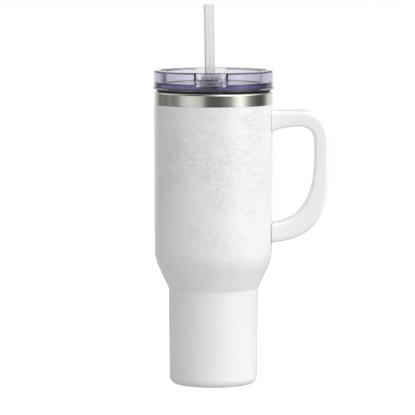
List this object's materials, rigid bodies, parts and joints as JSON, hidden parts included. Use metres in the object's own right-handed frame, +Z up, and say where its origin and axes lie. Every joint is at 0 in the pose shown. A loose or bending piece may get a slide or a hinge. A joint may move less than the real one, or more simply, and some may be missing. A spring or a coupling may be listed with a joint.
{
  "type": "insulated tumbler",
  "caption": "Tall double-walled steel tumbler with a narrow lower half, a fixed D-shaped side handle, a clear push-in lid with a sliding sip closure, and a straw",
  "frame": {"origin": "on the cup's axis, at the flat face that it stands on", "axes": "+Z up along the cup, +X towards the handle, -Y towards the side that the user drinks from"},
  "size_m": [0.1479, 0.1014, 0.3209],
  "materials": {
    "coat": "white powder coat, semi-gloss, fine texture",
    "bare_steel": "fine turned stainless steel",
    "copper": "copper foil",
    "seal_glass": "fused glass solder bead",
    "handle_plastic": "white moulded plastic, satin",
    "lid_clear": "clear moulded plastic with a faint violet tint",
    "gasket_black": "black silicone",
    "seal_silicone": "clear silicone",
    "straw_clear": "translucent extruded plastic"
  },
  "bodies": {
    "cup": {"outer_shell": "coat", "mouth_ring": "bare_steel", "inner_liner": "bare_steel", "liner_bottom": "bare_steel", "copper_foil": "copper", "vacuum_bottom": "bare_steel", "seal_bead": "seal_glass", "getter": "bare_steel", "base_cover": "bare_steel", "handle": "handle_plastic", "upper_bracket": "bare_steel", "upper_screw": "bare_steel", "upper_screw_plug": "handle_plastic", "lower_bracket": "bare_steel", "lower_screw": "bare_steel", "lower_screw_plug": "handle_plastic"},
    "gasket": {"lid_gasket": "gasket_black"},
    "lid": {"lid_body": "lid_clear"},
    "slider": {"lid_slider": "lid_clear", "slider_seal": "seal_silicone"},
    "straw": {"straw": "straw_clear"}
  },
  "joints": [
    {"name": "lid_lift", "type": "slide", "parent": "cup", "child": "gasket", "axis": [0, 0, 1], "range_m": [0, 0.262]},
    {"name": "lid_turn", "type": "hinge", "parent": "gasket", "child": "lid", "pos_m": [0, 0, 0.2499], "axis": [0, 0, 1], "continuous": true},
    {"name": "slider_slide", "type": "slide", "parent": "lid", "child": "slider", "axis": [0, 1, 0], "range_m": [0, 0.0125]},
    {"name": "straw_lift", "type": "slide", "parent": "lid", "child": "straw", "axis": [-0.0166, 0, 0.9999], "range_m": [0, 0.262]}
  ]
}
